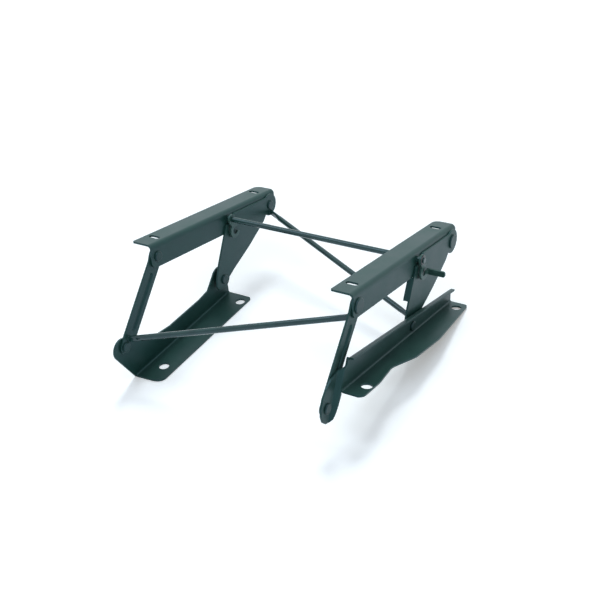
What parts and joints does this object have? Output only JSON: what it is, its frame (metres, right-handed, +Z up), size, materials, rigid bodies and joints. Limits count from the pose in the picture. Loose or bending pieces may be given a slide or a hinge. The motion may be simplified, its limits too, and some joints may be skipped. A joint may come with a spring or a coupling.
{
  "type": "seat riser",
  "caption": "Folding seat riser: two sloping seat rails on parallel links over floor brackets, braced by diagonal rods, with a latch worked by a cross rod and hand lever.",
  "frame": {"origin": "midway between the left bracket's two floor holes, on its underside", "axes": "+X from the left unit to the right one, +Y to the rear of the vehicle along the rails, +Z up"},
  "size_m": [0.4498, 0.4668, 0.1985],
  "materials": {
    "pressing_black": "gloss black paint on pressed sheet steel",
    "rod_black": "gloss black paint on drawn round bar",
    "rivet_black": "black paint over upset rivet heads",
    "latch_black": "black paint on blanked plate",
    "spring_steel": "oil-blackened spring steel"
  },
  "bodies": {
    "floor_brackets": {"left_lower_bracket": "pressing_black", "right_lower_bracket": "pressing_black", "left_rear_lower_rivet": "rivet_black", "right_rear_lower_rivet": "rivet_black", "left_rear_spacer": "rivet_black"},
    "front_links": {"left_front_link": "pressing_black", "right_front_link": "pressing_black", "front_diagonal_rod": "rod_black", "left_front_lower_rivet": "rivet_black", "right_front_lower_rivet": "rivet_black", "left_front_upper_rivet": "rivet_black", "right_front_upper_rivet": "rivet_black"},
    "upper_rails": {"left_upper_rail": "pressing_black", "right_upper_rail": "pressing_black", "return_spring": "spring_steel"},
    "rear_links": {"left_rear_link": "pressing_black", "right_rear_link": "pressing_black", "rear_diagonal_rod": "rod_black", "left_rear_upper_rivet": "rivet_black", "right_rear_upper_rivet": "rivet_black", "left_striker": "rivet_black", "right_striker": "rivet_black"},
    "latch": {"release_cross_rod": "rod_black", "left_latch_hook": "latch_black", "release_lever": "latch_black", "left_push_nut": "spring_steel", "right_push_nut": "spring_steel"}
  },
  "joints": [
    {"name": "front_fold", "type": "hinge", "parent": "floor_brackets", "child": "front_links", "pos_m": [0.155, -0.153, 0.067], "axis": [1, 0, 0], "range_deg": [0, 60]},
    {"name": "rail_pivot", "type": "hinge", "parent": "front_links", "child": "upper_rails", "pos_m": [0.155, -0.046, 0.174], "axis": [1, 0, 0], "range_deg": [-47.3, 0]},
    {"name": "rear_fold", "type": "hinge", "parent": "floor_brackets", "child": "rear_links", "pos_m": [0.155, 0.103, 0.044], "axis": [1, 0, 0], "range_deg": [0, 62.6]},
    {"name": "latch_release", "type": "hinge", "parent": "upper_rails", "child": "latch", "pos_m": [0.155, 0.14276, 0.14376], "axis": [1, 0, 0], "range_deg": [-25, 0], "stiffness_Nm_per_rad": 0.6, "springref_deg": 20.05}
  ],
  "couplings": [
    {"joint": "rail_pivot", "follows": "front_fold", "ratio": -0.7845},
    {"joint": "rear_fold", "follows": "front_fold", "ratio": 1.0396}
  ]
}
